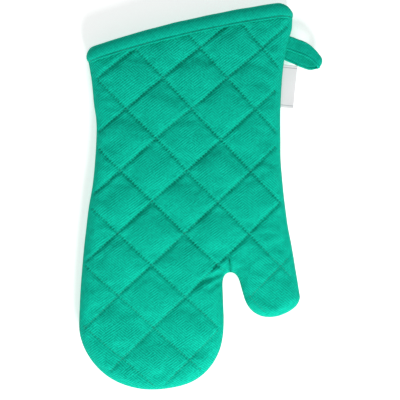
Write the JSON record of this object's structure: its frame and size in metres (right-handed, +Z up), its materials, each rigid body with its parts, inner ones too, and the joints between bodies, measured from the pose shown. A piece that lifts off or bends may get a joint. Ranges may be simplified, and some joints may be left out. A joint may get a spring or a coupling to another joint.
{
  "type": "oven mitt",
  "caption": "Quilted fabric oven mitt with a padded hand, bending fingers and thumb, a bound cuff, a tape hanging loop and a small side label.",
  "frame": {"origin": "centre of the footprint, on the surface the mitt lies on", "axes": "+Z up through the thickness from palm to back, +Y from the fingers to the cuff, +X towards the thumb"},
  "size_m": [0.2082, 0.3324, 0.025],
  "materials": {
    "outer_cloth": "matte cotton twill",
    "binding_tape": "matte bias tape",
    "lining_cloth": "matte plain cotton",
    "wadding": "soft fibre wadding",
    "sewing_thread": "spun polyester thread",
    "label_satin": "woven satin ribbon"
  },
  "bodies": {
    "hand": {"back_cloth_hand": "outer_cloth", "back_wadding_hand": "wadding", "back_lining_hand": "lining_cloth", "back_quilting_thread_hand": "sewing_thread", "palm_cloth_hand": "outer_cloth", "palm_wadding_hand": "wadding", "palm_lining_hand": "lining_cloth", "palm_quilting_thread_hand": "sewing_thread", "seam_thread_little_finger_side": "sewing_thread", "seam_thread_thumb_side": "sewing_thread", "seam_thread_crotch": "sewing_thread", "cuff_binding": "binding_tape", "binding_stitch_outside": "sewing_thread", "binding_stitch_inside": "sewing_thread"},
    "fingers": {"back_cloth_fingers": "outer_cloth", "back_wadding_fingers": "wadding", "back_lining_fingers": "lining_cloth", "back_quilting_thread_fingers": "sewing_thread", "palm_cloth_fingers": "outer_cloth", "palm_wadding_fingers": "wadding", "palm_lining_fingers": "lining_cloth", "palm_quilting_thread_fingers": "sewing_thread", "seam_thread_fingers": "sewing_thread"},
    "thumb": {"back_cloth_thumb": "outer_cloth", "back_wadding_thumb": "wadding", "back_lining_thumb": "lining_cloth", "back_quilting_thread_thumb": "sewing_thread", "palm_cloth_thumb": "outer_cloth", "palm_wadding_thumb": "wadding", "palm_lining_thumb": "lining_cloth", "palm_quilting_thread_thumb": "sewing_thread", "seam_thread_thumb": "sewing_thread"},
    "loop": {"hanging_loop": "binding_tape"},
    "label": {"side_label": "label_satin"}
  },
  "joints": [
    {"name": "finger_bend", "type": "hinge", "parent": "hand", "child": "fingers", "pos_m": [-0.0421, -0.08062, 0.0125], "axis": [1, 0, 0], "range_deg": [-70, 70]},
    {"name": "thumb_bend", "type": "hinge", "parent": "hand", "child": "thumb", "pos_m": [0.0543, -0.05982, 0.0125], "axis": [0.8, 0.6, 0], "range_deg": [-60, 60]},
    {"name": "loop_swing", "type": "hinge", "parent": "hand", "child": "loop", "pos_m": [0.0777, 0.12418, 0.0125], "axis": [0, 1, 0], "range_deg": [-80, 80]},
    {"name": "label_flap", "type": "hinge", "parent": "hand", "child": "label", "pos_m": [0.0711, 0.09298, 0.0125], "axis": [0.0974, 0.9952, 0], "range_deg": [-80, 80]}
  ]
}
